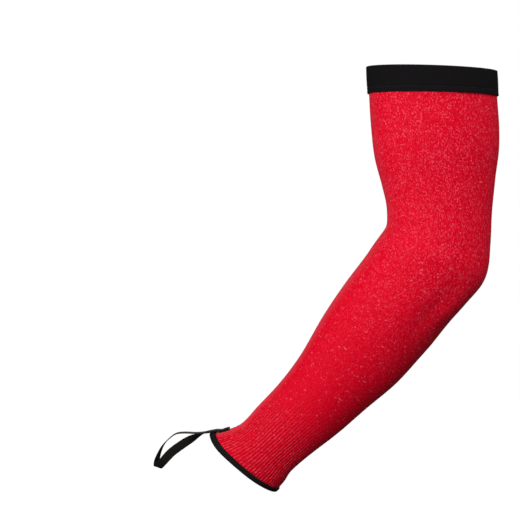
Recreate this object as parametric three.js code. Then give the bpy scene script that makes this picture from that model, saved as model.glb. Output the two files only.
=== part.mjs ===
import * as THREE from 'three';
import { LoftGeometry } from 'three/addons/geometries/LoftGeometry.js';

// A cut resistant work sleeve in the bent shape that it has on an arm, in millimetres with +Z up.
// The origin is the middle of the elastic band round the upper arm. From there the arm goes down
// and bends towards -X, so the crook of the elbow is on the -X side, and the front faces -Y.

// Sizes along the arm, measured on the middle line of the tube
const sleeveLength = 472; // from the band's top edge to the edge of the wrist binding
const bandWidth = 26;
const bandOverlap = 9; // knit that goes up inside the band
const bindingOuterLeg = 5.5; // binding on the outside of the knit
const bindingInnerLeg = 4; // binding on the inside of the knit
const ribLength = 110; // ribbed knit above the wrist edge

// Sizes across the arm
const upperArmWidth = 128; // outside of the knit under the band, from crook side to elbow side
const upperArmDepth = 100; // outside of the knit under the band, from front to back
const knitWall = 1.6;
const ribDepth = 0.5;
const bandThickness = 1.4;
const bindingThickness = 0.9;
const clearance = 0.3; // between two pieces that are sewn together

// Thumb loop, a flat elastic with its two ends sewn one on the other to the crook side of the wrist
const loopWidth = 9.5;
const loopThickness = 1;
const loopReach = 60; // from the wrist edge to the loop's tip
const loopSewn = 17; // length of the ends that lies on the knit
const loopRamp = 2.8; // length over which the ends rise on to the binding

// Shape of the worn sleeve
const forearmLean = 8; // degrees that the forearm leans back from the front view
const hemBow = 3; // how far the front and back of the wrist edge reach past its two sides
const dentDepth = 1.4; // deepest of the soft dents round the elbow

// Sections of the tube. at is a share of sleeveLength. heading is the way the middle line runs, in
// degrees, with 90 straight down and more of it towards -X. slant tips the section, in degrees.
// lean is a share of forearmLean and bow a share of hemBow. crook and elbow are the half widths on
// those two sides as shares of half the upperArmWidth, and depth is a share of upperArmDepth.
const sections = [
  { at: 0.0, heading: 89, slant: -3, lean: 0, crook: 1.0, elbow: 1.0, depth: 1.0, bow: 0 },
  { at: 0.06, heading: 88, slant: -3, lean: 0, crook: 0.99, elbow: 1.01, depth: 1.0, bow: 0 },
  { at: 0.12, heading: 87, slant: -2, lean: 0, crook: 0.98, elbow: 1.02, depth: 1.0, bow: 0 },
  { at: 0.18, heading: 87, slant: 0, lean: 0, crook: 0.95, elbow: 0.995, depth: 0.97, bow: 0 },
  { at: 0.24, heading: 88, slant: 0, lean: 0, crook: 0.86, elbow: 0.915, depth: 0.9, bow: 0 },
  { at: 0.3, heading: 92.5, slant: 0, lean: 0, crook: 0.78, elbow: 0.865, depth: 0.86, bow: 0 },
  { at: 0.35, heading: 99.5, slant: 0, lean: 0, crook: 0.775, elbow: 0.89, depth: 0.86, bow: 0 },
  { at: 0.4, heading: 112, slant: 0, lean: 0.16, crook: 0.825, elbow: 0.96, depth: 0.88, bow: 0 },
  { at: 0.44, heading: 122.5, slant: 0, lean: 0.5, crook: 0.845, elbow: 0.88, depth: 0.86, bow: 0 },
  { at: 0.48, heading: 127, slant: 0, lean: 0.84, crook: 0.84, elbow: 0.825, depth: 0.84, bow: 0 },
  { at: 0.56, heading: 128, slant: 0, lean: 1, crook: 0.83, elbow: 0.805, depth: 0.82, bow: 0 },
  { at: 0.65, heading: 128, slant: 0, lean: 1, crook: 0.775, elbow: 0.76, depth: 0.77, bow: 0 },
  { at: 0.74, heading: 131, slant: 0, lean: 1, crook: 0.67, elbow: 0.64, depth: 0.68, bow: 0 },
  { at: 0.82, heading: 134.5, slant: 0, lean: 1, crook: 0.61, elbow: 0.58, depth: 0.6, bow: 0 },
  { at: 0.89, heading: 136.5, slant: 1, lean: 1, crook: 0.585, elbow: 0.53, depth: 0.55, bow: 0 },
  { at: 0.94, heading: 137.5, slant: 4, lean: 1, crook: 0.56, elbow: 0.525, depth: 0.53, bow: 0.25 },
  { at: 0.97, heading: 138.5, slant: 7, lean: 1, crook: 0.64, elbow: 0.58, depth: 0.54, bow: 0.56 },
  { at: 1.0, heading: 140, slant: 9, lean: 1, crook: 0.77, elbow: 0.61, depth: 0.56, bow: 1 },
];

// Soft dents in the knit. angle is the place round the tube in degrees, with 0 at the crook side,
// 90 at the back and -90 at the front, and spread is the half width there, also in degrees. at and
// length are shares of sleeveLength, and depth is a share of dentDepth.
const dents = [
  { at: 0.345, angle: -30, length: 0.02, spread: 30, depth: 1.0 },
  { at: 0.345, angle: 34, length: 0.022, spread: 32, depth: 0.9 },
  { at: 0.275, angle: -42, length: 0.035, spread: 22, depth: 0.8 },
  { at: 0.395, angle: -72, length: 0.018, spread: 30, depth: -0.5 },
  { at: 0.5, angle: -122, length: 0.07, spread: 14, depth: 0.8 },
  { at: 0.43, angle: 128, length: 0.05, spread: 18, depth: 0.7 },
];

// Way of the loop's middle line from the wrist edge out and back. at is a share of its free length.
// along follows the crook side of the wrist outwards, out stands square to it and back goes away
// from the front, all three as shares of loopReach. acrossAlong, acrossOut and acrossBack are the
// same three parts of the direction of the flat elastic's width.
const loopWay = [
  { at: 0.0, along: 0, out: 0, back: 0, acrossAlong: 0, acrossOut: 0, acrossBack: 1 },
  { at: 0.06, along: 0.1, out: 0, back: 0, acrossAlong: 0, acrossOut: 0, acrossBack: 1 },
  { at: 0.12, along: 0.23, out: 0.02, back: -0.01, acrossAlong: 0, acrossOut: 0, acrossBack: 1 },
  { at: 0.2, along: 0.42, out: 0.07, back: -0.03, acrossAlong: 0, acrossOut: 0, acrossBack: 1 },
  { at: 0.26, along: 0.56, out: 0.08, back: -0.04, acrossAlong: 0, acrossOut: 0, acrossBack: 1 },
  { at: 0.32, along: 0.7, out: 0.02, back: -0.06, acrossAlong: 0, acrossOut: 0, acrossBack: 1 },
  { at: 0.385, along: 0.82, out: -0.07, back: -0.08, acrossAlong: -0.1, acrossOut: -0.05, acrossBack: 1 },
  { at: 0.45, along: 0.92, out: -0.2, back: -0.09, acrossAlong: -0.25, acrossOut: -0.15, acrossBack: 0.95 },
  { at: 0.5, along: 0.975, out: -0.31, back: -0.1, acrossAlong: -0.4, acrossOut: -0.3, acrossBack: 0.85 },
  { at: 0.54, along: 0.975, out: -0.395, back: -0.14, acrossAlong: -0.55, acrossOut: -0.5, acrossBack: 0.65 },
  { at: 0.58, along: 0.89, out: -0.34, back: -0.18, acrossAlong: -0.45, acrossOut: -0.7, acrossBack: 0.5 },
  { at: 0.64, along: 0.77, out: -0.25, back: -0.17, acrossAlong: -0.5, acrossOut: -0.77, acrossBack: 0.35 },
  { at: 0.7, along: 0.66, out: -0.18, back: -0.15, acrossAlong: -0.37, acrossOut: -0.86, acrossBack: 0.3 },
  { at: 0.8, along: 0.44, out: -0.085, back: -0.1, acrossAlong: -0.3, acrossOut: -0.88, acrossBack: 0.36 },
  { at: 0.86, along: 0.3, out: -0.04, back: -0.06, acrossAlong: -0.2, acrossOut: -0.75, acrossBack: 0.6 },
  { at: 0.91, along: 0.185, out: -0.015, back: -0.03, acrossAlong: -0.05, acrossOut: -0.4, acrossBack: 0.9 },
  { at: 0.95, along: 0.09, out: 0, back: -0.01, acrossAlong: 0, acrossOut: -0.1, acrossBack: 1 },
  { at: 1.0, along: 0, out: 0, back: 0, acrossAlong: 0, acrossOut: 0, acrossBack: 1 },
];

// Mesh steps
const facetsAround = 48;
const ribFacets = 3; // facets of the ribbed knit for each plain facet, which gives 72 ribs round
const plainStretches = [
  { to: 0.3, outer: 6, inner: 3 },
  { to: 0.62, outer: 13, inner: 7 },
  { to: 1.0, outer: 7, inner: 3 },
];
const ribbedStretches = [
  { to: 0.68, outer: 5, inner: 3 },
  { to: 1.0, outer: 7, inner: 4 },
];
const middleLineSteps = 236;
const loopSteps = 44; // along the loop's free part
const loopSewnSteps = 6;
const foldSteps = 4; // round the fold of the binding
const ribFade = 0.3; // share of ribLength over which the grooves reach their depth
const edgeStep = 2; // short length that gives the way along the crook side

const radians = THREE.MathUtils.degToRad;

// Lengths that follow from the sizes above
const knitTop = bandWidth - bandOverlap;
const knitEnd = sleeveLength - bindingThickness - clearance;
const ribStart = sleeveLength - ribLength;

function slopeAt(table, row, column) {
  const before = table[Math.max(row - 1, 0)];
  const after = table[Math.min(row + 1, table.length - 1)];
  return (after[column] - before[column]) / (after.at - before.at);
}

// Every column of a table at a share of its length, on a smooth curve through the rows
function readTable(table, at) {
  let row = 0;
  while (row < table.length - 2 && table[row + 1].at <= at) row += 1;
  const from = table[row];
  const to = table[row + 1];
  const step = to.at - from.at;
  const t = (at - from.at) / step;
  const values = {};
  for (const column of Object.keys(from)) {
    const leaving = slopeAt(table, row, column) * step;
    const arriving = slopeAt(table, row + 1, column) * step;
    values[column] = (2 * t ** 3 - 3 * t ** 2 + 1) * from[column] + (t ** 3 - 2 * t ** 2 + t) * leaving
      + (3 * t ** 2 - 2 * t ** 3) * to[column] + (t ** 3 - t ** 2) * arriving;
  }
  return values;
}

// Directions of the tube at a row of the section table: along the arm, to its back and to the crook
function directionsAt(row) {
  const heading = radians(row.heading);
  const lean = radians(forearmLean * row.lean);
  const slant = radians(row.slant);
  const flat = new THREE.Vector3(Math.cos(heading), 0, -Math.sin(heading));
  const back = flat.clone().multiplyScalar(-Math.sin(lean));
  back.y = Math.cos(lean);
  const along = flat.multiplyScalar(Math.cos(lean));
  along.y = Math.sin(lean);
  const crook = new THREE.Vector3(-Math.sin(heading), 0, -Math.cos(heading));
  crook.multiplyScalar(Math.cos(slant)).addScaledVector(along, Math.sin(slant));
  return { along, back, crook };
}

// The middle line, added up step by step from its direction, starts at the band's top edge
const middleLine = [new THREE.Vector3()];
for (let i = 0; i < middleLineSteps; i += 1) {
  const halfWay = readTable(sections, (i + 0.5) / middleLineSteps);
  const step = directionsAt(halfWay).along.multiplyScalar(sleeveLength / middleLineSteps);
  middleLine.push(middleLine[i].clone().add(step));
}

function middleAt(length) {
  const place = (length / sleeveLength) * middleLineSteps;
  const i = Math.min(Math.max(Math.floor(place), 0), middleLineSteps - 1);
  return middleLine[i].clone().lerp(middleLine[i + 1], place - i);
}

const origin = middleAt(bandWidth / 2);

// Depth of the soft dents at a share of the sleeve's length and an angle round it
function dentAt(at, angle) {
  let depth = 0;
  for (const dent of dents) {
    const alongShare = (at - dent.at) / dent.length;
    const turn = THREE.MathUtils.euclideanModulo(angle - radians(dent.angle) + Math.PI, 2 * Math.PI);
    const aroundShare = (turn - Math.PI) / radians(dent.spread);
    depth += dentDepth * dent.depth * Math.exp(-(alongShare ** 2) - aroundShare ** 2);
  }
  return depth;
}

// Point of the tube at a length along it and an angle round it, 0 at the crook side and a quarter
// turn at the back. outwards is its distance outside the face of the knit.
function tubePoint(length, angle, outwards) {
  const at = length / sleeveLength;
  const row = readTable(sections, at);
  const { along, back, crook } = directionsAt(row);
  const grown = outwards - dentAt(at, angle);
  const side = Math.cos(angle) > 0 ? row.crook : row.elbow;
  const point = middleAt(length).sub(origin);
  point.addScaledVector(crook, ((side * upperArmWidth) / 2 + grown) * Math.cos(angle));
  point.addScaledVector(back, ((row.depth * upperArmDepth) / 2 + grown) * Math.sin(angle));
  return point.addScaledVector(along, hemBow * row.bow * Math.sin(angle) ** 2);
}

function tubeRing(length, facets, outwardsAt) {
  const ring = [];
  for (let i = 0; i < facets; i += 1) {
    const angle = (2 * Math.PI * i) / facets;
    ring.push(tubePoint(length, angle, outwardsAt(i)));
  }
  return ring;
}

// Lengths of the rings in the given stretches of the tube, without the first one
function ringLengths(start, end, stretches, face) {
  const lengths = [];
  let from = 0;
  for (const stretch of stretches) {
    for (let i = 1; i <= stretch[face]; i += 1) {
      const share = from + ((stretch.to - from) * i) / stretch[face];
      lengths.push(start + (end - start) * share);
    }
    from = stretch.to;
  }
  return lengths;
}

// Closed skin through a cycle of rings. Each facet of the coarser of two rings meets several of the
// finer one, whose number of points is a whole multiple.
function ringSkin(rings) {
  const points = rings.flat();
  const starts = [];
  let start = 0;
  for (const ring of rings) {
    starts.push(start);
    start += ring.length;
  }
  const index = [];
  for (let r = 0; r < rings.length; r += 1) {
    const next = (r + 1) % rings.length;
    const facets = Math.min(rings[r].length, rings[next].length);
    const here = rings[r].length / facets;
    const there = rings[next].length / facets;
    const pick = (ring, i) => starts[ring] + (i % rings[ring].length);
    for (let i = 0; i < facets; i += 1) {
      const firstHere = i * here;
      const firstThere = i * there;
      const middle = firstThere + Math.floor(there / 2);
      for (let k = 0; k < here; k += 1) {
        index.push(pick(r, firstHere + k), pick(r, firstHere + k + 1), pick(next, middle));
      }
      for (let k = 0; k < there; k += 1) {
        const owner = firstThere + k < middle ? firstHere : firstHere + here;
        index.push(pick(r, owner), pick(next, firstThere + k + 1), pick(next, firstThere + k));
      }
    }
  }
  const geometry = new THREE.BufferGeometry().setFromPoints(points);
  geometry.setIndex(index);
  geometry.computeVertexNormals();
  return geometry;
}

// Knit: plain rings down to the ribs, finer rings whose every second point lies in a groove
// between two ribs, and then the inside face back up to the top
function knitRings() {
  const rings = [tubeRing(knitTop, facetsAround, () => 0)];
  for (const length of ringLengths(knitTop, ribStart, plainStretches, 'outer')) {
    rings.push(tubeRing(length, facetsAround, () => 0));
  }
  for (const length of ringLengths(ribStart, knitEnd, ribbedStretches, 'outer')) {
    const groove = ribDepth * THREE.MathUtils.smoothstep(length, ribStart, ribStart + ribFade * ribLength);
    rings.push(tubeRing(length, facetsAround * ribFacets, (i) => -groove * (i % 2)));
  }
  const inside = [
    knitTop,
    ...ringLengths(knitTop, ribStart, plainStretches, 'inner'),
    ...ringLengths(ribStart, knitEnd, ribbedStretches, 'inner'),
  ];
  for (const length of inside.reverse()) {
    rings.push(tubeRing(length, facetsAround, () => -knitWall));
  }
  return rings;
}

// Flat elastic with soft edges, outside the knit and standing above its top edge
function bandRings() {
  const soft = bandThickness / 4;
  const face = clearance + bandThickness;
  const section = [
    { length: soft, outwards: face },
    { length: bandWidth - soft, outwards: face },
    { length: bandWidth, outwards: face - soft },
    { length: bandWidth, outwards: clearance + soft },
    { length: bandWidth - soft, outwards: clearance },
    { length: soft, outwards: clearance },
    { length: 0, outwards: clearance + soft },
    { length: 0, outwards: face - soft },
  ];
  return section.map((point) => tubeRing(point.length, facetsAround, () => point.outwards));
}

// Binding folded round the wrist edge: the outside leg, half an ellipse round the edge, the inside
// leg, and the inside of the fold, which stays clear of the knit
function bindingRings() {
  const middle = -knitWall / 2;
  const halfAcross = knitWall / 2 + clearance + bindingThickness;
  const foldDepth = 2 * bindingThickness;
  const section = [{ length: sleeveLength - bindingOuterLeg, outwards: middle + halfAcross }];
  for (let i = 0; i <= foldSteps; i += 1) {
    const turn = (Math.PI * i) / foldSteps;
    section.push({
      length: sleeveLength - foldDepth + foldDepth * Math.sin(turn),
      outwards: middle + halfAcross * Math.cos(turn),
    });
  }
  section.push({ length: sleeveLength - bindingInnerLeg, outwards: middle - halfAcross });
  section.push({ length: sleeveLength - bindingInnerLeg, outwards: -knitWall - clearance });
  section.push({ length: sleeveLength - bindingThickness, outwards: -knitWall - clearance });
  section.push({ length: sleeveLength - bindingThickness, outwards: clearance });
  section.push({ length: sleeveLength - bindingOuterLeg, outwards: clearance });
  return section.map((point) => tubeRing(point.length, facetsAround, () => point.outwards));
}

// Crook side of the tube at a length along it: its point, and the ways along, out of and behind it
function crookEdge(length) {
  const point = tubePoint(length, 0, 0);
  const along = point.clone().sub(tubePoint(length - edgeStep, 0, 0)).normalize();
  const { back } = directionsAt(readTable(sections, length / sleeveLength));
  const out = new THREE.Vector3().crossVectors(back, along).normalize();
  return { point, along, out, back };
}

// Height of the loop's sewn ends over the knit. layer is 0 for the end that lies on the knit and
// on the binding, and 1 for the end that lies on top of it.
function layerHeight(length, layer) {
  const bindingStart = sleeveLength - bindingOuterLeg;
  const overBinding = THREE.MathUtils.smoothstep(length, bindingStart - loopRamp, bindingStart);
  const seat = clearance + overBinding * (bindingThickness + clearance);
  return seat + loopThickness / 2 + layer * (loopThickness + clearance);
}

function loopStations() {
  const stations = [];
  const sewn = (share, layer) => {
    const length = sleeveLength - loopSewn * share;
    const edge = crookEdge(length);
    const centre = edge.point.addScaledVector(edge.out, layerHeight(length, layer));
    return { centre, across: edge.back };
  };
  for (let i = 0; i < loopSewnSteps; i += 1) {
    stations.push(sewn(1 - i / loopSewnSteps, 1));
  }
  const edge = crookEdge(sleeveLength);
  const place = (along, out, back) => new THREE.Vector3()
    .addScaledVector(edge.along, along)
    .addScaledVector(edge.out, out)
    .addScaledVector(edge.back, back);
  for (let i = 0; i <= loopSteps; i += 1) {
    const row = readTable(loopWay, i / loopSteps);
    const centre = place(row.along, row.out, row.back).multiplyScalar(loopReach).add(edge.point);
    centre.addScaledVector(edge.out, layerHeight(sleeveLength, 1 - i / loopSteps));
    stations.push({ centre, across: place(row.acrossAlong, row.acrossOut, row.acrossBack) });
  }
  for (let i = 1; i <= loopSewnSteps; i += 1) {
    stations.push(sewn(i / loopSewnSteps, 0));
  }
  return stations;
}

// Flat elastic along its stations, with its width square to the way that it runs
function loopGeometry() {
  const stations = loopStations();
  const loops = stations.map((station, i) => {
    const before = stations[Math.max(i - 1, 0)].centre;
    const after = stations[Math.min(i + 1, stations.length - 1)].centre;
    const way = after.clone().sub(before).normalize();
    const across = station.across.clone().addScaledVector(way, -way.dot(station.across));
    across.setLength(loopWidth / 2);
    const thick = new THREE.Vector3().crossVectors(way, across).setLength(loopThickness / 2);
    return [
      station.centre.clone().add(across).add(thick),
      station.centre.clone().sub(across).add(thick),
      station.centre.clone().sub(across).sub(thick),
      station.centre.clone().add(across).sub(thick),
    ];
  });
  return new LoftGeometry(loops, { capStart: true, capEnd: true });
}

const knitMaterial = new THREE.MeshStandardMaterial({ color: '#d40f2b', roughness: 0.9, metalness: 0 });
const elasticMaterial = new THREE.MeshStandardMaterial({ color: '#151315', roughness: 0.85, metalness: 0 });
const bindingMaterial = new THREE.MeshStandardMaterial({ color: '#1b191a', roughness: 0.9, metalness: 0 });
const loopMaterial = new THREE.MeshStandardMaterial({ color: '#211f1e', roughness: 0.8, metalness: 0 });

const sleeve = new THREE.Group();

function addPiece(name, geometry, material) {
  const piece = new THREE.Mesh(geometry, material);
  piece.name = name;
  sleeve.add(piece);
}

addPiece('sleeve_knit', ringSkin(knitRings()), knitMaterial);
addPiece('upper_band', ringSkin(bandRings()), elasticMaterial);
addPiece('wrist_binding', ringSkin(bindingRings()), bindingMaterial);
addPiece('thumb_loop', loopGeometry(), loopMaterial);

export default sleeve;
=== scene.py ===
import math

import bpy
import numpy as np
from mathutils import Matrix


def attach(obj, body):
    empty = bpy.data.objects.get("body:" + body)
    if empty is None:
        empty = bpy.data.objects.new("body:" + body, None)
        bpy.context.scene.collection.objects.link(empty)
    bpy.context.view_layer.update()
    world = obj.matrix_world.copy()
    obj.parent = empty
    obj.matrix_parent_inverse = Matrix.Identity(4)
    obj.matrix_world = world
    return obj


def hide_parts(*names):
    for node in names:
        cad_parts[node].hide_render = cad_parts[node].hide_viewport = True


# A cut resistant work sleeve, bent as it is on an arm: knit tube, elastic band round the upper
# arm, bound wrist and elastic thumb loop, with their stitches.

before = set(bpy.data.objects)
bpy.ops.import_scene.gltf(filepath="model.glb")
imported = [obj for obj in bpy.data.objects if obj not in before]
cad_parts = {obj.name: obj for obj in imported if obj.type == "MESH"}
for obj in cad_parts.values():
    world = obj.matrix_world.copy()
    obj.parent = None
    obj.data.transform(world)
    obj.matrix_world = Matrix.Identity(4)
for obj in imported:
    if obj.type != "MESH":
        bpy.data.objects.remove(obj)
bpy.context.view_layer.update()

MM = 0.001

# Sizes in millimetres. The rib depth, the loop's ramp and the swell of the wrist edge are the
# scene's own, and the others are those of the solids.
SLEEVE_LENGTH = 472.0
BAND_WIDTH = 26.0
BAND_OVERLAP = 9.0
BAND_THICKNESS = 1.4
BINDING_OUTER_LEG = 5.5
BINDING_INNER_LEG = 4.0
BINDING_THICKNESS = 0.9
RIB_LENGTH = 110.0
RIB_DEPTH = 0.75
RIBS = 72
UPPER_ARM_WIDTH = 128.0
UPPER_ARM_DEPTH = 100.0
KNIT_WALL = 1.6
CLEARANCE = 0.3
LOOP_WIDTH = 9.5
LOOP_THICKNESS = 1.0
LOOP_REACH = 60.0
LOOP_SEWN = 17.0
LOOP_RAMP = 5.0
PRESSED_GAP = 0.05
FOREARM_LEAN = 8.0
HEM_BOW = 3.0
HEM_SWELL = 2.0
SWELL_ANGLE = math.radians(-45)
SWELL_SPREAD = math.radians(28)
DENT_DEPTH = 1.4

# Lengths that follow from them
KNIT_TOP = BAND_WIDTH - BAND_OVERLAP
KNIT_END = SLEEVE_LENGTH - BINDING_THICKNESS - CLEARANCE
RIB_START = SLEEVE_LENGTH - RIB_LENGTH
FLARE_START = SLEEVE_LENGTH - 34.0
BAND_STITCH = BAND_WIDTH - 5.0
BAND_FACE = CLEARANCE + BAND_THICKNESS
BINDING_STITCH = SLEEVE_LENGTH - 3.9

# Sections of the tube: at is the share of its length, heading, slant and lean turn the section,
# crook, elbow and depth are its half widths and bow bends the wrist edge
SECTION_COLUMNS = ("at", "heading", "slant", "lean", "crook", "elbow", "depth", "bow")
SECTIONS = (
    (0.00, 89.0, -3.0, 0.00, 1.000, 1.000, 1.00, 0.00),
    (0.06, 88.0, -3.0, 0.00, 0.990, 1.010, 1.00, 0.00),
    (0.12, 87.0, -2.0, 0.00, 0.980, 1.020, 1.00, 0.00),
    (0.18, 87.0, 0.0, 0.00, 0.950, 0.995, 0.97, 0.00),
    (0.24, 88.0, 0.0, 0.00, 0.860, 0.915, 0.90, 0.00),
    (0.30, 92.5, 0.0, 0.00, 0.780, 0.865, 0.86, 0.00),
    (0.35, 99.5, 0.0, 0.00, 0.775, 0.890, 0.86, 0.00),
    (0.40, 112.0, 0.0, 0.16, 0.825, 0.960, 0.88, 0.00),
    (0.44, 122.5, 0.0, 0.50, 0.845, 0.880, 0.86, 0.00),
    (0.48, 127.0, 0.0, 0.84, 0.840, 0.825, 0.84, 0.00),
    (0.56, 128.0, 0.0, 1.00, 0.830, 0.805, 0.82, 0.00),
    (0.65, 128.0, 0.0, 1.00, 0.775, 0.760, 0.77, 0.00),
    (0.74, 131.0, 0.0, 1.00, 0.670, 0.640, 0.68, 0.00),
    (0.82, 134.5, 0.0, 1.00, 0.610, 0.580, 0.60, 0.00),
    (0.89, 136.5, 1.0, 1.00, 0.585, 0.530, 0.55, 0.00),
    (0.94, 137.5, 4.0, 1.00, 0.560, 0.525, 0.53, 0.25),
    (0.97, 138.5, 7.0, 1.00, 0.640, 0.580, 0.54, 0.56),
    (1.00, 140.0, 9.0, 1.00, 0.770, 0.610, 0.56, 1.00),
)

# Soft dents: place along and round the tube, half length and half width, and share of the depth
DENT_COLUMNS = ("at", "angle", "length", "spread", "depth")
DENTS = (
    (0.345, -30.0, 0.020, 30.0, 1.0),
    (0.345, 34.0, 0.022, 32.0, 0.9),
    (0.275, -42.0, 0.035, 22.0, 0.8),
    (0.395, -72.0, 0.018, 30.0, -0.5),
    (0.500, -122.0, 0.070, 14.0, 0.8),
    (0.430, 128.0, 0.050, 18.0, 0.7),
)

# Smaller folds of the cloth, in the same columns: shallow creases round the bend, the trough beside
# the elbow with the fuller cloth next to it, and the firm lower side of the forearm
FOLDS = (
    (0.385, -60.0, 0.010, 26.0, 0.35),
    (0.372, -118.0, 0.008, 24.0, 0.30),
    (0.470, -128.0, 0.045, 11.0, 0.80),
    (0.455, -146.0, 0.045, 20.0, -2.00),
    (0.435, 178.0, 0.032, 20.0, 1.00),
    (0.540, -168.0, 0.050, 20.0, -0.70),
    (0.640, -165.0, 0.070, 22.0, -0.80),
    (0.770, -170.0, 0.090, 22.0, -0.90),
    (0.930, -148.0, 0.060, 20.0, -1.40),
)

# Way of the thumb loop from the wrist edge out and back, as shares of its reach, and the
# direction of the flat elastic's width
LOOP_COLUMNS = ("at", "along", "out", "back", "across_along", "across_out", "across_back")
LOOP_WAY = (
    (0.000, 0.000, 0.000, 0.00, 0.00, 0.00, 1.00),
    (0.060, 0.100, 0.000, 0.00, 0.00, 0.00, 1.00),
    (0.120, 0.230, 0.020, -0.01, 0.00, 0.00, 1.00),
    (0.200, 0.420, 0.070, -0.03, 0.00, 0.00, 1.00),
    (0.260, 0.560, 0.080, -0.04, 0.00, 0.00, 1.00),
    (0.320, 0.700, 0.020, -0.06, 0.00, 0.00, 1.00),
    (0.385, 0.820, -0.070, -0.08, -0.10, -0.05, 1.00),
    (0.450, 0.920, -0.200, -0.09, -0.25, -0.15, 0.95),
    (0.500, 0.975, -0.310, -0.10, -0.40, -0.30, 0.85),
    (0.540, 0.975, -0.395, -0.14, -0.55, -0.50, 0.65),
    (0.580, 0.890, -0.340, -0.18, -0.45, -0.70, 0.50),
    (0.640, 0.770, -0.250, -0.17, -0.50, -0.77, 0.35),
    (0.700, 0.660, -0.180, -0.15, -0.37, -0.86, 0.30),
    (0.800, 0.440, -0.085, -0.10, -0.30, -0.88, 0.36),
    (0.860, 0.300, -0.040, -0.06, -0.20, -0.75, 0.60),
    (0.910, 0.185, -0.015, -0.03, -0.05, -0.40, 0.90),
    (0.950, 0.090, 0.000, -0.01, 0.00, -0.10, 1.00),
    (1.000, 0.000, 0.000, 0.00, 0.00, 0.00, 1.00),
)


def read_table(columns, rows, at):
    """Every column at the shares in at: a cubic between two rows whose slope at a row is the slope
    of the line through its two neighbours, and at an end row that of its own step."""
    table = np.array(rows)
    places = table[:, 0]
    slopes = np.empty_like(table)
    slopes[1:-1] = (table[2:] - table[:-2]) / (places[2:] - places[:-2])[:, None]
    slopes[0] = (table[1] - table[0]) / (places[1] - places[0])
    slopes[-1] = (table[-1] - table[-2]) / (places[-1] - places[-2])
    at = np.asarray(at, float)
    row = np.clip(np.searchsorted(places, at, side="right") - 1, 0, len(places) - 2)
    step = (places[row + 1] - places[row])[..., None]
    t = (at - places[row])[..., None] / step
    values = (
        (2 * t**3 - 3 * t**2 + 1) * table[row]
        + (t**3 - 2 * t**2 + t) * step * slopes[row]
        + (3 * t**2 - 2 * t**3) * table[row + 1]
        + (t**3 - t**2) * step * slopes[row + 1]
    )
    return {name: values[..., k] for k, name in enumerate(columns)}


def smooth(x, low, high):
    """0 below low, 1 above high and 3t^2 - 2t^3 between them."""
    t = np.clip((np.asarray(x, float) - low) / (high - low), 0, 1)
    return t * t * (3 - 2 * t)


def unit(v):
    """Vectors of the last axis, each divided by its length."""
    return v / np.linalg.norm(v, axis=-1, keepdims=True)


def directions(row):
    """Ways along the tube, to its back and to the crook: the heading turned in the X-Z plane, then
    leant back, with the crook's way slanted towards the way along."""
    heading, lean = np.radians(row["heading"]), np.radians(FOREARM_LEAN * row["lean"])
    slant = np.radians(row["slant"])[..., None]
    zero = np.zeros_like(heading)
    ahead, down = np.cos(heading), np.sin(heading)
    along = np.stack([ahead * np.cos(lean), np.sin(lean), -down * np.cos(lean)], -1)
    back = np.stack([-ahead * np.sin(lean), np.cos(lean), down * np.sin(lean)], -1)
    crook = np.stack([-down, zero, -ahead], -1)
    return along, back, crook * np.cos(slant) + along * np.sin(slant)


MIDDLE_STEPS = 236


def middle_line():
    """Points of the tube's middle line: the running sum of its direction half way along each step,
    moved so that the middle of the band is the origin."""
    half_way = (np.arange(MIDDLE_STEPS) + 0.5) / MIDDLE_STEPS
    along, _, _ = directions(read_table(SECTION_COLUMNS, SECTIONS, half_way))
    steps = np.cumsum(along * SLEEVE_LENGTH / MIDDLE_STEPS, axis=0)
    line = np.vstack([np.zeros((1, 3)), steps])
    lengths = np.linspace(0, SLEEVE_LENGTH, MIDDLE_STEPS + 1)
    start = [np.interp(BAND_WIDTH / 2, lengths, line[:, k]) for k in range(3)]
    return lengths, line - np.array(start)


MIDDLE_LENGTHS, MIDDLE_POINTS = middle_line()


def turn_from(centre, angle):
    """Turn from centre to angle, in radians, between half a turn back and half a turn on."""
    return (angle - centre + math.pi) % (2 * math.pi) - math.pi


def dents_at(at, angle):
    """Sum of the dents and folds, each a bell curve along the tube times a bell curve round it."""
    depth = np.zeros(np.broadcast(at, angle).shape)
    for place, turn, length, spread, share in DENTS + FOLDS:
        beside = turn_from(math.radians(turn), angle) / math.radians(spread)
        bell = -(((at - place) / length) ** 2) - beside**2
        depth += DENT_DEPTH * share * np.exp(bell)
    return depth


def tube(length, angle, outwards=0.0):
    """Points of the knit tube in millimetres, for arrays of length along it and angle round it: half
    an ellipse on the crook side and another on the elbow side of the middle line, each grown by the
    height outwards and sunk by the dents, with the front and back of the wrist edge bowed on and
    its front corner swelling a little further, by a bell curve round the tube."""
    length, angle, outwards = np.broadcast_arrays(length, angle, outwards)
    at = length / SLEEVE_LENGTH
    row = read_table(SECTION_COLUMNS, SECTIONS, at)
    along, back, crook = directions(row)
    grown = outwards - dents_at(at, angle)
    side = np.where(np.cos(angle) > 0, row["crook"], row["elbow"]) * UPPER_ARM_WIDTH / 2 + grown
    deep = row["depth"] * UPPER_ARM_DEPTH / 2 + grown
    swell = HEM_SWELL * np.exp(-((turn_from(SWELL_ANGLE, angle) / SWELL_SPREAD) ** 2))
    bowed = row["bow"] * (HEM_BOW * np.sin(angle) ** 2 + swell)
    middle = np.stack([np.interp(length, MIDDLE_LENGTHS, MIDDLE_POINTS[:, k]) for k in range(3)], -1)
    return (
        middle
        + crook * (side * np.cos(angle))[..., None]
        + back * (deep * np.sin(angle))[..., None]
        + along * bowed[..., None]
    )


def tube_frame(length, angle, outwards=0.0):
    """Point on the tube and its ways along, round and out, from small steps along and round it."""
    step, turn = 0.5, 0.01
    along = unit(tube(length + step, angle, outwards) - tube(length - step, angle, outwards))
    around = unit(tube(length, angle + turn, outwards) - tube(length, angle - turn, outwards))
    return tube(length, angle, outwards), along, around, unit(np.cross(around, along))


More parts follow.
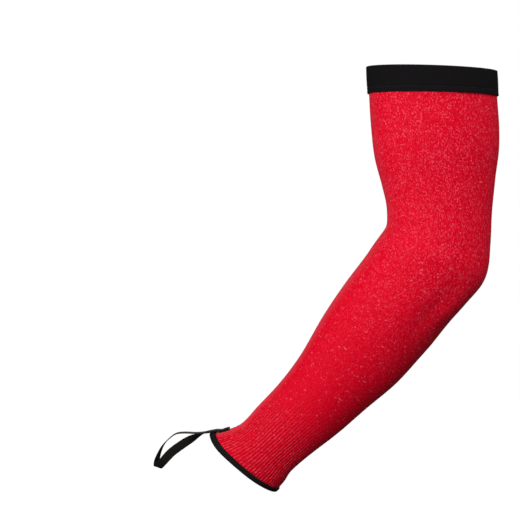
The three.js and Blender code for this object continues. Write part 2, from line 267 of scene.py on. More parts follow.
def linear(hex_colour):
    """sRGB hex to linear colour: each channel over 255, then the sRGB curve undone."""
    value = hex_colour.lstrip("#")
    srgb = [int(value[k : k + 2], 16) / 255 for k in (0, 2, 4)]
    return [c / 12.92 if c <= 0.04045 else ((c + 0.055) / 1.055) ** 2.4 for c in srgb] + [1.0]


def fill_mesh(name, points, faces, material, uv=None):
    """Object with a mesh from arrays: points in millimetres, faces all with as many corners, and uv
    with one pair for each corner of each face."""
    mesh = bpy.data.meshes.new(name)
    sides = faces.shape[1]
    mesh.vertices.add(len(points))
    mesh.vertices.foreach_set("co", (np.asarray(points) * MM).astype(np.float32).ravel())
    mesh.loops.add(faces.size)
    mesh.loops.foreach_set("vertex_index", faces.astype(np.int32).ravel())
    mesh.polygons.add(len(faces))
    mesh.polygons.foreach_set("loop_start", np.arange(0, faces.size, sides, dtype=np.int32))
    mesh.polygons.foreach_set("use_smooth", np.ones(len(faces), bool))
    if uv is not None:
        layer = mesh.uv_layers.new(name="cloth")
        layer.data.foreach_set("uv", np.asarray(uv, np.float32).ravel())
    mesh.update(calc_edges=True)
    mesh.validate()
    mesh.materials.append(material)
    piece = bpy.data.objects.new(name, mesh)
    bpy.context.scene.collection.objects.link(piece)
    return piece


def ring_faces(rows, columns, along_closed):
    """Quads of a grid that closes round its columns, and along its rows if asked."""
    i = np.arange(rows if along_closed else rows - 1)[:, None]
    j = np.arange(columns)[None, :]
    below = (i + 1) % rows
    beside = (j + 1) % columns
    corners = [i * columns + j, below * columns + j, below * columns + beside, i * columns + beside]
    return np.stack([c + 0 * i + 0 * j for c in corners], -1).reshape(-1, 4)


def capped_faces(rows, columns):
    """Triangles of a tube of rings that is closed at each end by a point: the point of the first ring
    comes straight after the rings, and that of the last ring after it."""
    grid = ring_faces(rows, columns, False)
    j = np.arange(columns)
    beside = (j + 1) % columns
    last = (rows - 1) * columns
    start = np.stack([np.full(columns, rows * columns), j, beside], -1)
    end = np.stack([np.full(columns, rows * columns + 1), last + beside, last + j], -1)
    return np.vstack([grid[:, [0, 1, 2]], grid[:, [0, 2, 3]], start, end])


def closed_run(x, y):
    """Length run round a closed section, up to each of its points and on to the first again."""
    steps = np.hypot(np.diff(np.append(x, x[0])), np.diff(np.append(y, y[0])))
    return np.append(0, np.cumsum(steps))


def ring_uv(uv_rows, uv_columns):
    """Corner pairs for ring_faces: one value for each edge of the rows and of the columns."""
    u0, u1 = np.broadcast_arrays(uv_columns[None, :-1], uv_columns[None, 1:])
    v0, v1 = uv_rows[:-1, None], uv_rows[1:, None]
    pairs = [(u0, v0), (u0, v1), (u1, v1), (u1, v0)]
    shape = (len(uv_rows) - 1, len(uv_columns) - 1)
    corners = [np.stack([np.broadcast_to(u, shape), np.broadcast_to(v, shape)], -1) for u, v in pairs]
    return np.stack(corners, 2).reshape(-1, 2)


def dress(piece, slot_name, *replaced):
    """The piece rides on the one body, and stands for the nodes that it replaces."""
    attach(piece, "root")
    if replaced:
        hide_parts(*replaced)
    return piece


# Materials


def add(tree, kind, inputs=None, **settings):
    """Adds a node with its settings. Each input, by name or number, is linked to the output that is
    given for it, or set to the value that is given."""
    node = tree.nodes.new(kind)
    for name, value in settings.items():
        setattr(node, name, value)
    for key, value in (inputs or {}).items():
        if isinstance(value, bpy.types.NodeSocket):
            tree.links.new(value, node.inputs[key])
        else:
            node.inputs[key].default_value = value
    return node


def new_material(name, roughness, specular, sheen=0.0, sheen_colour="#FFFFFF"):
    """Cloth material: a principled shader with its constants set on its own sockets."""
    material = bpy.data.materials.new(name)
    material.use_nodes = True
    shader = material.node_tree.nodes["Principled BSDF"]
    shader.inputs["Roughness"].default_value = roughness
    shader.inputs["Specular IOR Level"].default_value = specular
    shader.inputs["Sheen Weight"].default_value = sheen
    shader.inputs["Sheen Roughness"].default_value = 0.5
    shader.inputs["Sheen Tint"].default_value = linear(sheen_colour)
    return material, material.node_tree, shader


def set_ramp(node, stops):
    """Stops of a colour ramp: pairs of place and hex colour."""
    ramp = node.color_ramp
    while len(ramp.elements) < len(stops):
        ramp.elements.new(0.5)
    for element, (place, colour) in zip(ramp.elements, stops):
        element.position = place
        element.color = linear(colour)


def link_bump(tree, shader, height):
    """Turns the shader's normal by a height whose unit is a tenth of a millimetre."""
    bump = add(tree, "ShaderNodeBump", {"Height": height, "Strength": 0.45, "Distance": 0.1 * MM})
    tree.links.new(bump.outputs[0], shader.inputs["Normal"])


WALES = 216  # columns of stitches round the tube, three to a rib
COURSE = 1.45  # height of a row of stitches, in millimetres
AROUND = 364.0  # girth of the upper arm, which the knit's u runs over, from the seam
SEAM_ANGLE = math.radians(25)
CROOK_U = AROUND * (1 - SEAM_ANGLE / (2 * math.pi))  # where the knit's u passes the crook side
PALE_YARN = "#F5808C"  # core yarn that shows between the red loops
CROOK_SHEEN_RED = "#EE5A66"  # painted sheen on the lit crook side of the arm
CREST_HIGHLIGHT_PINK = "#EC5C70"  # painted highlight on single stitches of the rib crests
GROOVE_SHADE_RED = "#9A0018"  # painted shade in the grooves between ribs, where little light comes
KNIT_REDS = (  # shades of the legs, from the shaded ones to the few where the core yarn lies on top
    (0.0, "#C6001D"),
    (0.45, "#D6001F"),
    (0.7, "#DC0A28"),
    (0.88, "#E12A44"),
    (1.0, "#E84C62"),
)


def knit_material():
    """Plain knit of a red cover yarn and a pale high strength core yarn: each leg of a stitch has its
    own shade and some show the pale core, and rows of stitches show it as short dotted dashes. The
    ribs of the wrist have painted highlights on their crests and painted shade in their grooves, and
    the lit crook side has a painted sheen. The yarn is slightly glossy."""
    material, tree, shader = new_material(
        "heathered_cut_resistant_knit", 0.6, 0.05, sheen=0.03, sheen_colour="#FF7080"
    )
    uv = add(tree, "ShaderNodeUVMap", uv_map="cloth").outputs["UV"]
    per_leg = {0: uv, 1: (2 * WALES / AROUND, 1 / COURSE, 1.0)}
    legs = add(tree, "ShaderNodeVectorMath", per_leg, operation="MULTIPLY").outputs[0]
    per_stitch = {0: uv, 1: (WALES / AROUND, 1 / COURSE, 1.0)}
    stitches = add(tree, "ShaderNodeVectorMath", per_stitch, operation="MULTIPLY").outputs[0]
    place = add(tree, "ShaderNodeSeparateXYZ", {0: uv})

    # Shade of each leg of a stitch, with a soft mottle over several of them
    cells = add(
        tree, "ShaderNodeTexVoronoi", {"Vector": legs, "Scale": 1.0, "Randomness": 0.9},
        voronoi_dimensions="2D",
    )
    chance = add(tree, "ShaderNodeSeparateColor", {0: cells.outputs["Color"]})
    mottle = add(
        tree, "ShaderNodeTexNoise", {"Vector": stitches, "Scale": 1.2, "Detail": 3.0, "Roughness": 0.7},
        noise_dimensions="2D",
    )
    shade = add(
        tree, "ShaderNodeMath", {0: mottle.outputs[0], 1: 1.0, 2: chance.outputs[0]},
        operation="MULTIPLY_ADD",
    )
    # Fewer pale legs towards the wrist than on the upper arm
    pale_share = add(
        tree, "ShaderNodeMapRange",
        {"Value": place.outputs[1], "From Min": 170.0, "From Max": 390.0, "To Min": 0.09, "To Max": -0.16},
        interpolation_type="SMOOTHSTEP",
    )
    shade_along_sleeve = add(
        tree, "ShaderNodeMath", {0: shade.outputs[0], 1: pale_share.outputs[0]}, operation="ADD"
    )
    heather = add(
        tree, "ShaderNodeMapRange",
        {"Value": shade_along_sleeve.outputs[0], "From Min": 0.35, "From Max": 1.65, "To Min": 0.0, "To Max": 1.0},
    )
    red = add(tree, "ShaderNodeValToRGB", {0: heather.outputs[0]})
    set_ramp(red, KNIT_REDS)

    # Dotted dashes of the pale core yarn in single rows of stitches
    row = add(tree, "ShaderNodeVectorMath", {0: stitches, 1: (0.0, 1.0, 1.0)}, operation="SNAP")
    run = add(
        tree, "ShaderNodeVectorMath", {0: row.outputs[0], 1: (0.0, 7.3, 0.0)}, operation="MULTIPLY"
    )
    along_row = add(
        tree, "ShaderNodeVectorMath", {0: stitches, 1: (0.22, 0.0, 0.0), 2: run.outputs[0]},
        operation="MULTIPLY_ADD",
    )
    dashes = add(
        tree, "ShaderNodeTexNoise", {"Vector": along_row.outputs[0], "Scale": 1.0, "Detail": 1.0},
        noise_dimensions="2D",
    )
    picked = add(
        tree, "ShaderNodeMapRange",
        {"Value": dashes.outputs[0], "From Min": 0.68, "From Max": 0.76, "To Min": 0.0, "To Max": 0.32},
    )
    dots = add(
        tree, "ShaderNodeMapRange",
        {"Value": chance.outputs[1], "From Min": 0.5, "From Max": 0.7, "To Min": 0.0, "To Max": 1.0},
    )
    dashed = add(
        tree, "ShaderNodeMath", {0: picked.outputs[0], 1: dots.outputs[0]}, operation="MULTIPLY"
    )
    with_dashes = add(
        tree, "ShaderNodeMix", {0: dashed.outputs[0], 6: red.outputs[0], 7: linear(PALE_YARN)},
        data_type="RGBA",
    )

    # Painted sheen: the lit crook side of the cloth is painted a little paler, more so towards the hand
    from_crook = add(
        tree, "ShaderNodeMath", {0: place.outputs[0], 1: CROOK_U}, operation="SUBTRACT"
    )
    beside_crook = add(tree, "ShaderNodeMath", {0: from_crook.outputs[0]}, operation="ABSOLUTE")
    painted_sheen_band = add(
        tree, "ShaderNodeMapRange",
        {
            "Value": beside_crook.outputs[0], "From Min": 8.0, "From Max": 32.0,
            "To Min": 0.36, "To Max": 0.0,
        },
        interpolation_type="SMOOTHSTEP",
    )
    towards_hand = add(
        tree, "ShaderNodeMapRange",
        {"Value": place.outputs[1], "From Min": 120.0, "From Max": 260.0, "To Min": 0.3, "To Max": 1.0},
    )
    # Share of the painted sheen along the crook side
    painted_sheen_share = add(
        tree, "ShaderNodeMath", {0: painted_sheen_band.outputs[0], 1: towards_hand.outputs[0]}, operation="MULTIPLY"
    )
    with_painted_sheen = add(
        tree, "ShaderNodeMix", {0: painted_sheen_share.outputs[0], 6: with_dashes.outputs[2], 7: linear(CROOK_SHEEN_RED)},
        data_type="RGBA",
    )

    # Ribs: one wave for each of them, faded in towards the wrist, with painted shade in their grooves and
    # painted highlights on their crests
    rib_turn = 2 * math.pi * RIBS / AROUND
    rib_phase = add(tree, "ShaderNodeMath", {0: place.outputs[0], 1: rib_turn}, operation="MULTIPLY")
    rib_wave = add(tree, "ShaderNodeMath", {0: rib_phase.outputs[0]}, operation="COSINE")
    rib_share = add(
        tree, "ShaderNodeMapRange",
        {
            "Value": place.outputs[1], "From Min": RIB_START + 5, "From Max": RIB_START + 80,
            "To Min": 0.0, "To Max": 0.42,
        },
        interpolation_type="SMOOTHSTEP",
    )
    rib_dip = add(
        tree, "ShaderNodeMath", {0: rib_wave.outputs[0], 1: -0.5, 2: 0.5}, operation="MULTIPLY_ADD"
    )
    # Painted shade: the grooves are mixed towards a darker red
    painted_groove_shade = add(
        tree, "ShaderNodeMath", {0: rib_dip.outputs[0], 1: rib_share.outputs[0]}, operation="MULTIPLY"
    )
    with_groove_shade = add(
        tree, "ShaderNodeMix", {0: painted_groove_shade.outputs[0], 6: with_painted_sheen.outputs[2], 7: linear(GROOVE_SHADE_RED)},
        data_type="RGBA",
    )
    # Painted highlight: pale dots on the rib crests
    crest_highlight_share = add(
        tree, "ShaderNodeMath", {0: rib_wave.outputs[0], 1: rib_share.outputs[0]}, operation="MULTIPLY",
        use_clamp=True,
    )
    crest_highlight_dots = add(
        tree, "ShaderNodeMath", {0: crest_highlight_share.outputs[0], 1: dots.outputs[0]}, operation="MULTIPLY"
    )
    with_crest_highlight = add(
        tree, "ShaderNodeMix", {0: crest_highlight_dots.outputs[0], 6: with_groove_shade.outputs[2], 7: linear(CREST_HIGHLIGHT_PINK)},
        data_type="RGBA",
    )
    tree.links.new(with_crest_highlight.outputs[2], shader.inputs["Base Color"])

    # Height of the loops: columns of stitches with a hollow at each row, and loose fibres
    turns = add(
        tree, "ShaderNodeVectorMath", {0: stitches, 1: (2 * math.pi,) * 3}, operation="MULTIPLY"
    )
    phase = add(tree, "ShaderNodeSeparateXYZ", {0: turns.outputs[0]})
    column = add(tree, "ShaderNodeMath", {0: phase.outputs[0]}, operation="SINE")
    course = add(tree, "ShaderNodeMath", {0: phase.outputs[1]}, operation="SINE")
    loops = add(
        tree, "ShaderNodeMath", {0: course.outputs[0], 1: 0.5, 2: column.outputs[0]},
        operation="MULTIPLY_ADD",
    )
    fuzz = add(
        tree, "ShaderNodeMath", {0: mottle.outputs[0], 1: 5.0, 2: loops.outputs[0]},
        operation="MULTIPLY_ADD",
    )
    link_bump(tree, shader, fuzz.outputs[0])
    return material


def elastic_material(name, dark, pale, pitch_u, pitch_v, roughness):
    """Black elastic of textured polyester over rubber cords: fine cords at the given pitches in
    millimetres catch a little grey light, and single fibres show as grey specks."""
    material, tree, shader = new_material(name, roughness, 0.1)
    uv = add(tree, "ShaderNodeUVMap", uv_map="cloth").outputs["UV"]
    cords = add(
        tree, "ShaderNodeVectorMath", {0: uv, 1: (2 * math.pi / pitch_u, 2 * math.pi / pitch_v, 1.0)},
        operation="MULTIPLY",
    )
    phase = add(tree, "ShaderNodeSeparateXYZ", {0: cords.outputs[0]})
    across = add(tree, "ShaderNodeMath", {0: phase.outputs[0]}, operation="SINE")
    along = add(tree, "ShaderNodeMath", {0: phase.outputs[1]}, operation="SINE")
    weave = add(
        tree, "ShaderNodeMath", {0: across.outputs[0], 1: 0.6, 2: along.outputs[0]},
        operation="MULTIPLY_ADD",
    )
    specks = add(
        tree, "ShaderNodeTexNoise", {"Vector": uv, "Scale": 0.9, "Detail": 3.0, "Roughness": 0.7},
        noise_dimensions="2D",
    )
    height = add(
        tree, "ShaderNodeMath", {0: specks.outputs[0], 1: 1.5, 2: weave.outputs[0]},
        operation="MULTIPLY_ADD",
    )
    tone = add(
        tree, "ShaderNodeMapRange", {"Value": height.outputs[0], "From Min": -1.2, "From Max": 2.8}
    )
    colour = add(tree, "ShaderNodeValToRGB", {0: tone.outputs[0]})
    set_ramp(colour, [(0.0, dark), (1.0, pale)])
    tree.links.new(colour.outputs[0], shader.inputs["Base Color"])
    link_bump(tree, shader, height.outputs[0])
    return material


def thread_material(name, colour, shade):
    """Spun polyester sewing thread, a shade darker where its twist turns away."""
    material, tree, shader = new_material(name, 0.7, 0.2)
    place = add(tree, "ShaderNodeTexCoord").outputs["Object"]
    twist = add(tree, "ShaderNodeTexNoise", {"Vector": place, "Scale": 1500.0, "Detail": 2.0})
    ramp = add(tree, "ShaderNodeValToRGB", {0: twist.outputs[0]})
    set_ramp(ramp, [(0.35, shade), (0.65, colour)])
    tree.links.new(ramp.outputs[0], shader.inputs["Base Color"])
    return material


knit_cloth = knit_material()
band_cloth = elastic_material("woven_black_elastic", "#070608", "#131012", 1.3, 0.8, 0.85)
binding_cloth = elastic_material("knitted_black_binding", "#0B090A", "#1A1718", 1.0, 1.1, 0.9)
loop_cloth = elastic_material("braided_black_elastic", "#100E0D", "#242120", 1.2, 1.0, 0.8)
black_thread = thread_material("black_polyester_thread", "#221F1F", "#141213")
pale_thread = thread_material("pale_pink_core_thread", "#F3C7C9", "#D98A92")

# Knit tube

KNIT_COLUMNS = 288
EDGE_ROUND = 0.4  # how far from its cut edges the knit begins to round off, in millimetres


def rib_height(length, angle):
    """Grooves between the ribs: half a cosine wave for each rib, sunk from the face of the knit and
    faded in over the first part of the ribbed length."""
    deepening = 0.12 + 0.88 * smooth(length, RIB_START + 5, RIB_START + 0.62 * RIB_LENGTH)
    depth = RIB_DEPTH * deepening * smooth(length, RIB_START - 15, RIB_START + 25)
    return -depth * (0.5 - 0.5 * np.cos(RIBS * angle))


def knit_tube():
    """Grid of the tube: the outside from the top edge to the wrist edge, closer rows in the flare,
    a rounded edge, the inside back up, and a rounded top edge, closed both ways."""
    angle = np.linspace(0, 2 * np.pi, KNIT_COLUMNS, endpoint=False) + SEAM_ANGLE
    outer = np.concatenate([
        np.linspace(KNIT_TOP, RIB_START, 130, endpoint=False),
        np.linspace(RIB_START, FLARE_START, 26, endpoint=False),
        np.linspace(FLARE_START, KNIT_END - EDGE_ROUND, 30),
    ])
    inner = np.concatenate([
        np.linspace(KNIT_END - EDGE_ROUND, RIB_START, 24, endpoint=False),
        np.linspace(RIB_START, KNIT_TOP + EDGE_ROUND, 40),
    ])
    length = np.concatenate([outer, [KNIT_END, KNIT_END], inner, [KNIT_TOP - EDGE_ROUND / 2]])
    outside = rib_height(outer[:, None], angle[None, :])
    edge = np.full((1, KNIT_COLUMNS), -0.4 * KNIT_WALL)
    far_edge = np.full((1, KNIT_COLUMNS), -0.75 * KNIT_WALL)
    inside = np.full((len(inner), KNIT_COLUMNS), -KNIT_WALL)
    top = np.full((1, KNIT_COLUMNS), -0.5 * KNIT_WALL)
    height = np.vstack([outside, edge, far_edge, inside, top])
    points = tube(length[:, None], angle[None, :], height)
    faces = ring_faces(len(length), KNIT_COLUMNS, True)
    uv = ring_uv(np.append(length, length[0]), np.linspace(0, AROUND, KNIT_COLUMNS + 1))
    return fill_mesh("knit_tube", points.reshape(-1, 3), faces, knit_cloth, uv)


knit = dress(knit_tube(), "knit", "sleeve_knit")

# Elastic band


def ring_piece(name, section, columns, material, ripple):
    """Ring with a closed section: pairs of length and height outwards, carried round the tube. The
    ripple adds a small height along and round the ring."""
    length, height = np.array(section).T
    angle = np.linspace(0, 2 * np.pi, columns, endpoint=False)
    heights = height[:, None] + ripple(length[:, None], angle[None, :])
    points = tube(length[:, None], angle[None, :], heights)
    faces = ring_faces(len(section), columns, True)
    uv = ring_uv(closed_run(length, height), np.linspace(0, AROUND, columns + 1))
    return fill_mesh(name, points.reshape(-1, 3), faces, material, uv)


CORNER_STEPS = 4


def rounded_bar(length_0, length_1, low, high, radius, face_steps):
    """Section of a flat bar with round corners: the outer face, the two corner arcs of a quarter turn
    at its far end, the inner face, and the two at its near end, as one closed row of points."""
    turns = np.linspace(0, np.pi / 2, CORNER_STEPS + 1)
    sine, cosine = radius * np.sin(turns), radius * np.cos(turns)
    near, far, below, above = length_0 + radius, length_1 - radius, low + radius, high - radius
    face = np.linspace(near, far, face_steps)
    parts = [
        (face, np.full(face_steps, high)),
        (far + sine[1:], above + cosine[1:]),
        (far + cosine[:-1], below - sine[:-1]),
        (face[::-1], np.full(face_steps, low)),
        (near - sine[1:], below - cosine[1:]),
        (near - cosine[:-1], above + sine[:-1]),
    ]
    return np.hstack(parts).T


def band_ripple(length, angle):
    """The stitch row presses a shallow groove into the band, and its free top bulges slightly."""
    groove = -0.35 * np.exp(-(((length - BAND_STITCH) / 1.2) ** 2))
    bulge = 0.15 * np.sin(np.pi * np.clip(length / BAND_STITCH, 0, 1))
    return (groove + bulge) + 0 * angle


band_section = rounded_bar(0.0, BAND_WIDTH, CLEARANCE, BAND_FACE, 0.5, 22)
band_ring = ring_piece("elastic_band", band_section, 240, band_cloth, band_ripple)
band = dress(band_ring, "band_elastic", "upper_band")

# Wrist binding

BINDING_MIDDLE = -KNIT_WALL / 2
BINDING_HALF = KNIT_WALL / 2 + CLEARANCE + BINDING_THICKNESS
BINDING_FOLD = 2 * BINDING_THICKNESS
BINDING_EDGE = 0.3  # how far the cut edges of its legs are bevelled, in millimetres


def binding_section():
    """Closed section of the folded binding: the outside leg, half an ellipse round the wrist edge,
    the inside leg, and the inside of the fold."""
    tip, end = SLEEVE_LENGTH - BINDING_OUTER_LEG, SLEEVE_LENGTH - BINDING_INNER_LEG
    bend, inside = SLEEVE_LENGTH - BINDING_FOLD, SLEEVE_LENGTH - BINDING_THICKNESS
    outer_face, inner_face = BINDING_MIDDLE + BINDING_HALF, BINDING_MIDDLE - BINDING_HALF
    gap = BINDING_HALF - BINDING_THICKNESS
    above, below = BINDING_MIDDLE + gap, BINDING_MIDDLE - gap
    leg = [(length, outer_face) for length in np.linspace(tip + BINDING_EDGE, bend, 6)[:-1]]
    fold = [
        (bend + BINDING_FOLD * math.sin(t), BINDING_MIDDLE + BINDING_HALF * math.cos(t))
        for t in np.linspace(0, np.pi, 13)
    ]
    back_up = [
        (end + BINDING_EDGE, inner_face),
        (end, inner_face + BINDING_EDGE),
        (end, below - 0.2),
        (end + BINDING_EDGE, below),
        (inside, below),
        (inside, above),
        (tip + BINDING_EDGE, above),
        (tip, above + 0.2),
        (tip, outer_face - BINDING_EDGE),
    ]
    return leg + fold + back_up


def binding_ripple(length, angle):
    """Slight puckers of the binding between its stitches."""
    puckered = smooth(length, SLEEVE_LENGTH - BINDING_OUTER_LEG, SLEEVE_LENGTH - 2)
    return 0.12 * np.cos(84 * angle) * puckered


binding_ring = ring_piece(
    "folded_binding", binding_section(), 336, binding_cloth, binding_ripple
)
binding = dress(binding_ring, "binding", "wrist_binding")

# Thumb loop


def crook_edge(length):
    """Crook side of the tube: the point, the way along it, the way out, square to the back and to
    that, and the way back."""
    length = np.atleast_1d(np.asarray(length, float))
    point = tube(length, 0.0)
    along = unit(point - tube(length - 2.0, 0.0))
    _, back, _ = directions(read_table(SECTION_COLUMNS, SECTIONS, length / SLEEVE_LENGTH))
    return point, along, unit(np.cross(back, along)), back


def layer_height(length, layer):
    """Height of the loop's ends, pressed on the knit by their stitches, raised over the binding, and
    one end on the other."""
    start = SLEEVE_LENGTH - BINDING_OUTER_LEG
    over = smooth(length, start - LOOP_RAMP, start)
    seat = PRESSED_GAP + over * (BINDING_THICKNESS + CLEARANCE)
    return seat + LOOP_THICKNESS / 2 + layer * (LOOP_THICKNESS + PRESSED_GAP)


def sewn_end(shares, layer):
    """Points and width ways of a sewn end of the loop, at shares of its length before the wrist
    edge: along the crook side, at the height of its layer."""
    length = SLEEVE_LENGTH - LOOP_SEWN * shares
    point, _, out, back = crook_edge(length)
    return point + out * layer_height(length, layer)[:, None], back


def free_loop():
    """Points and width ways of the loop between its ends: the table's way in the frame of the wrist's
    corner, from the upper layer to the lower one."""
    at = np.linspace(0, 1, 190)
    row = {name: value[:, None] for name, value in read_table(LOOP_COLUMNS, LOOP_WAY, at).items()}
    point, along, out, back = (v[0] for v in crook_edge(SLEEVE_LENGTH))
    height = layer_height(SLEEVE_LENGTH, 1 - at)[:, None]
    way = row["along"] * along + row["out"] * out + row["back"] * back
    width = row["across_along"] * along + row["across_out"] * out + row["across_back"] * back
    return point + LOOP_REACH * way + height * out, width


def loop_way():
    """Middle line of the whole loop and the way of its width: one sewn end, the free loop, and the
    other sewn end under the first."""
    shares = np.linspace(1, 0, 24, endpoint=False)
    parts = sewn_end(shares, 1.0), free_loop(), sewn_end(shares[::-1], 0.0)
    lines, widths = zip(*parts)
    return np.vstack(lines), np.vstack(widths)


def strap_section(width, thickness, cords, points):
    """Closed section of a flat braid: a flattened oval whose two faces are ridged by its cords."""
    turn = np.linspace(0, 2 * np.pi, points, endpoint=False)
    across = np.sign(np.cos(turn)) * np.abs(np.cos(turn)) ** 0.35 * width / 2
    ridge = 1 - 0.12 * (0.5 - 0.5 * np.cos(2 * np.pi * cords * (across / width + 0.5)))
    thick = np.sign(np.sin(turn)) * np.abs(np.sin(turn)) ** 0.35 * ridge * thickness / 2
    return across, thick


def strap(name, line, widths, section, material):
    """A section carried along a line: its width stands square to the way of the line and its
    thickness square to both. The two ends are closed by a point at their middle."""
    way = unit(np.gradient(line, axis=0))
    across = unit(widths - (widths * way).sum(-1, keepdims=True) * way)
    thick = np.cross(way, across)
    wide, high = section
    rings = line[:, None] + across[:, None] * wide[None, :, None] + thick[:, None] * high[None, :, None]
    rows, columns = rings.shape[:2]
    points = np.vstack([rings.reshape(-1, 3), line[:1], line[-1:]])
    faces = capped_faces(rows, columns)
    run = np.append(0, np.cumsum(np.linalg.norm(np.diff(line, axis=0), axis=1)))
    side = closed_run(wide, high)[:-1]
    vertex_uv = np.concatenate([
        np.stack(np.broadcast_arrays(side[None, :], run[:, None]), -1).reshape(-1, 2),
        [[0.0, run[0]], [0.0, run[-1]]],
    ])
    return fill_mesh(name, points, faces, material, vertex_uv[faces].reshape(-1, 2))


loop_line, loop_widths = loop_way()
loop_profile = strap_section(LOOP_WIDTH, LOOP_THICKNESS, 7, 56)
loop_strap = strap("elastic_thumb_loop", loop_line, loop_widths, loop_profile, loop_cloth)
dress(loop_strap, "loop_elastic", "thumb_loop")

# Stitches


THREAD_SIDES = 6
STITCH_SHARE = 0.86  # share of its pitch that a stitch of a zigzag covers


def capsules(name, lines, normals, radius, material):
    """Short threads: lines has one row of points for each, the first and last of them the tips.
    Each inner point carries a ring whose radius follows half an ellipse along the thread."""
    count, steps = lines.shape[:2]
    way = unit(np.gradient(lines, axis=1))
    beside = unit(np.cross(way, normals[:, None]))
    up = np.cross(beside, way)
    t = np.linspace(-1, 1, steps)[1:-1]
    girth = radius * (1 - np.abs(t) ** 3) ** 0.5
    turn = np.linspace(0, 2 * np.pi, THREAD_SIDES, endpoint=False)
    rings = (
        lines[:, 1:-1, None]
        + girth[None, :, None, None] * np.cos(turn)[None, None, :, None] * beside[:, 1:-1, None]
        + girth[None, :, None, None] * np.sin(turn)[None, None, :, None] * up[:, 1:-1, None]
    )
    points = np.concatenate([rings.reshape(count, -1, 3), lines[:, :1], lines[:, -1:]], 1)
    one = capped_faces(steps - 2, THREAD_SIDES)
    faces = one[None] + (np.arange(count) * points.shape[1])[:, None, None]
    return fill_mesh(name, points.reshape(-1, 3), faces.reshape(-1, 3), material)


def arcs(starts, ends, normals, lift, sunk, steps=7):
    """Points of threads from start to end: a straight line raised by lift times a sine and sunk at
    its tips, so that each dives into the cloth."""
    t = np.linspace(0, 1, steps)[None, :, None]
    rise = lift * np.sin(np.pi * t) - sunk * (1 - np.sin(np.pi * t))
    return starts[:, None] * (1 - t) + ends[:, None] * t + rise * normals[:, None]


def ring_stitches(name, length, outwards, count, swing, radius, material):
    """Zigzag round the tube: each stitch runs from one side of the seam to the other."""
    angle = 2 * np.pi * np.arange(count) / count
    step = 2 * np.pi / count * STITCH_SHARE
    side = np.where(np.arange(count) % 2 == 0, 1.0, -1.0) * swing / 2
    starts = tube(length - side, angle, outwards)
    ends = tube(length + side, angle + step, outwards)
    _, _, _, out = tube_frame(np.full(count, length), angle + step / 2)
    return capsules(name, arcs(starts, ends, out, radius * 0.8, radius), out, radius, material)


band_row = ring_stitches(
    "band_stitches", BAND_STITCH, BAND_FACE - 0.25, 180, 1.6, 0.22, black_thread
)
band_stitches = dress(band_row, "band_elastic")
binding_row = ring_stitches(
    "binding_stitches", BINDING_STITCH, BINDING_MIDDLE + BINDING_HALF, 96, 1.3, 0.2, black_thread
)
binding_stitches = dress(binding_row, "binding")

SEAM_THREADS = 250
SEAM_HALF_WIDTH = 0.9


def side_seam():
    """Flat seam down the back, just inside the crook side: pale threads that cross the seam line one
    after another, from the band to the binding."""
    length = np.linspace(BAND_WIDTH + 0.5, SLEEVE_LENGTH - BINDING_OUTER_LEG - 1, SEAM_THREADS)
    point, along, around, out = tube_frame(length, np.full(SEAM_THREADS, SEAM_ANGLE))
    side = np.where(np.arange(SEAM_THREADS) % 2 == 0, 1.0, -1.0)[:, None] * SEAM_HALF_WIDTH
    step = (length[1] - length[0]) * 1.05
    starts = point - along * step / 2 - around * side
    ends = point + along * step / 2 + around * side
    return capsules("side_seam", arcs(starts, ends, out, 0.45, 0.1), out, 0.38, pale_thread)


seam = dress(side_seam(), "knit")


def bar_tack():
    """Dense bar of thread across the loop's sewn end, side by side along it."""
    count = 9
    length = SLEEVE_LENGTH - LOOP_SEWN + 1.2 + 0.42 * np.arange(count)
    point, along, out, back = crook_edge(length)
    top = point + out * (layer_height(length, 1.0) + LOOP_THICKNESS / 2)[:, None]
    lean = np.where(np.arange(count) % 2 == 0, 0.2, -0.2)[:, None] * along
    half = 0.44 * LOOP_WIDTH
    starts = top - back * half - lean
    ends = top + back * half + lean
    return capsules("loop_bar_tack", arcs(starts, ends, out, 0.3, 0.35, 9), out, 0.3, black_thread)


dress(bar_tack(), "loop_elastic")

# Floor, light and camera

FLOOR_HEIGHT = -0.47
FLOOR_HALF_WIDTH = 14.0


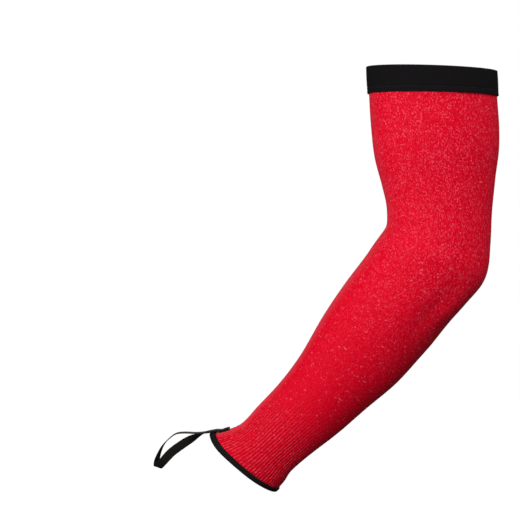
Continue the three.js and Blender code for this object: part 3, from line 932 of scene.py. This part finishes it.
def stage_floor():
    """Wide pale floor under the held sleeve, mostly white to the camera, with a faint shadow."""
    corners = np.array([[-1, -1], [1, -1], [1, 1], [-1, 1]], float) * FLOOR_HALF_WIDTH
    points = np.hstack([corners, np.full((4, 1), FLOOR_HEIGHT)]) / MM
    material = bpy.data.materials.new("pale_studio_floor")
    material.use_nodes = True
    tree = material.node_tree
    matt = tree.nodes["Principled BSDF"]
    matt.inputs["Base Color"].default_value = linear("#585858")
    matt.inputs["Roughness"].default_value = 1.0
    glow = add(tree, "ShaderNodeEmission", {"Color": (1, 1, 1, 1), "Strength": 1.1})
    ray = add(tree, "ShaderNodeLightPath").outputs["Is Camera Ray"]
    share = add(tree, "ShaderNodeMath", {0: ray, 1: 0.92}, operation="MULTIPLY")
    mix = add(
        tree, "ShaderNodeMixShader", {0: share.outputs[0], 1: matt.outputs[0], 2: glow.outputs[0]}
    )
    tree.links.new(mix.outputs[0], tree.nodes["Material Output"].inputs[0])
    floor = fill_mesh("studio_floor", points, np.array([[0, 1, 2, 3]]), material)


def studio_world():
    """Dim even light from all round, seen as white behind the sleeve."""
    world = bpy.data.worlds.new("studio")
    bpy.context.scene.world = world
    world.use_nodes = True
    tree = world.node_tree
    back = tree.nodes["Background"]
    ray = add(tree, "ShaderNodeLightPath").outputs["Is Camera Ray"]
    strength = add(tree, "ShaderNodeMapRange", {"Value": ray, "To Min": 0.07, "To Max": 1.0})
    back.inputs["Color"].default_value = (1, 1, 1, 1)
    tree.links.new(strength.outputs[0], back.inputs["Strength"])


def soft_light(name, place, target, size, power):
    """Square area light at a place, turned to a target, both in metres."""
    data = bpy.data.lights.new(name, "AREA")
    data.shape = "SQUARE"
    data.size = size
    data.energy = power
    light = bpy.data.objects.new(name, data)
    bpy.context.scene.collection.objects.link(light)
    light.location = place
    way = np.array(target) - np.array(place)
    heading = math.atan2(way[1], way[0])
    drop = math.atan2(-way[2], math.hypot(way[0], way[1]))
    light.rotation_euler = (math.pi / 2 - drop, 0, heading - math.pi / 2)


stage_floor()
studio_world()
MIDDLE = (-0.1, 0.0, -0.2)
soft_light("key_light", (-1.0, -2.3, 0.95), MIDDLE, 0.9, 41)
soft_light("front_fill", (-0.3, -2.7, 0.3), MIDDLE, 0.9, 15)
soft_light("low_fill", (-2.3, -1.2, -0.1), MIDDLE, 0.9, 30)
soft_light("high_fill", (1.5, -0.5, 1.7), MIDDLE, 1.0, 36)
soft_light("back_light", (0.3, 2.5, 1.0), MIDDLE, 1.2, 46)

CAMERA_DISTANCE = 2.4
PICTURE_WIDTH = 0.52
camera_data = bpy.data.cameras.new("camera")
camera_data.sensor_width = 36.0
camera_data.lens = camera_data.sensor_width * CAMERA_DISTANCE / PICTURE_WIDTH
camera = bpy.data.objects.new("camera", camera_data)
bpy.context.scene.collection.objects.link(camera)
camera.location = (-0.172, -CAMERA_DISTANCE, -0.178)
camera.rotation_euler = (math.pi / 2, 0, 0)
bpy.context.scene.camera = camera
bpy.context.scene.view_settings.view_transform = "Standard"
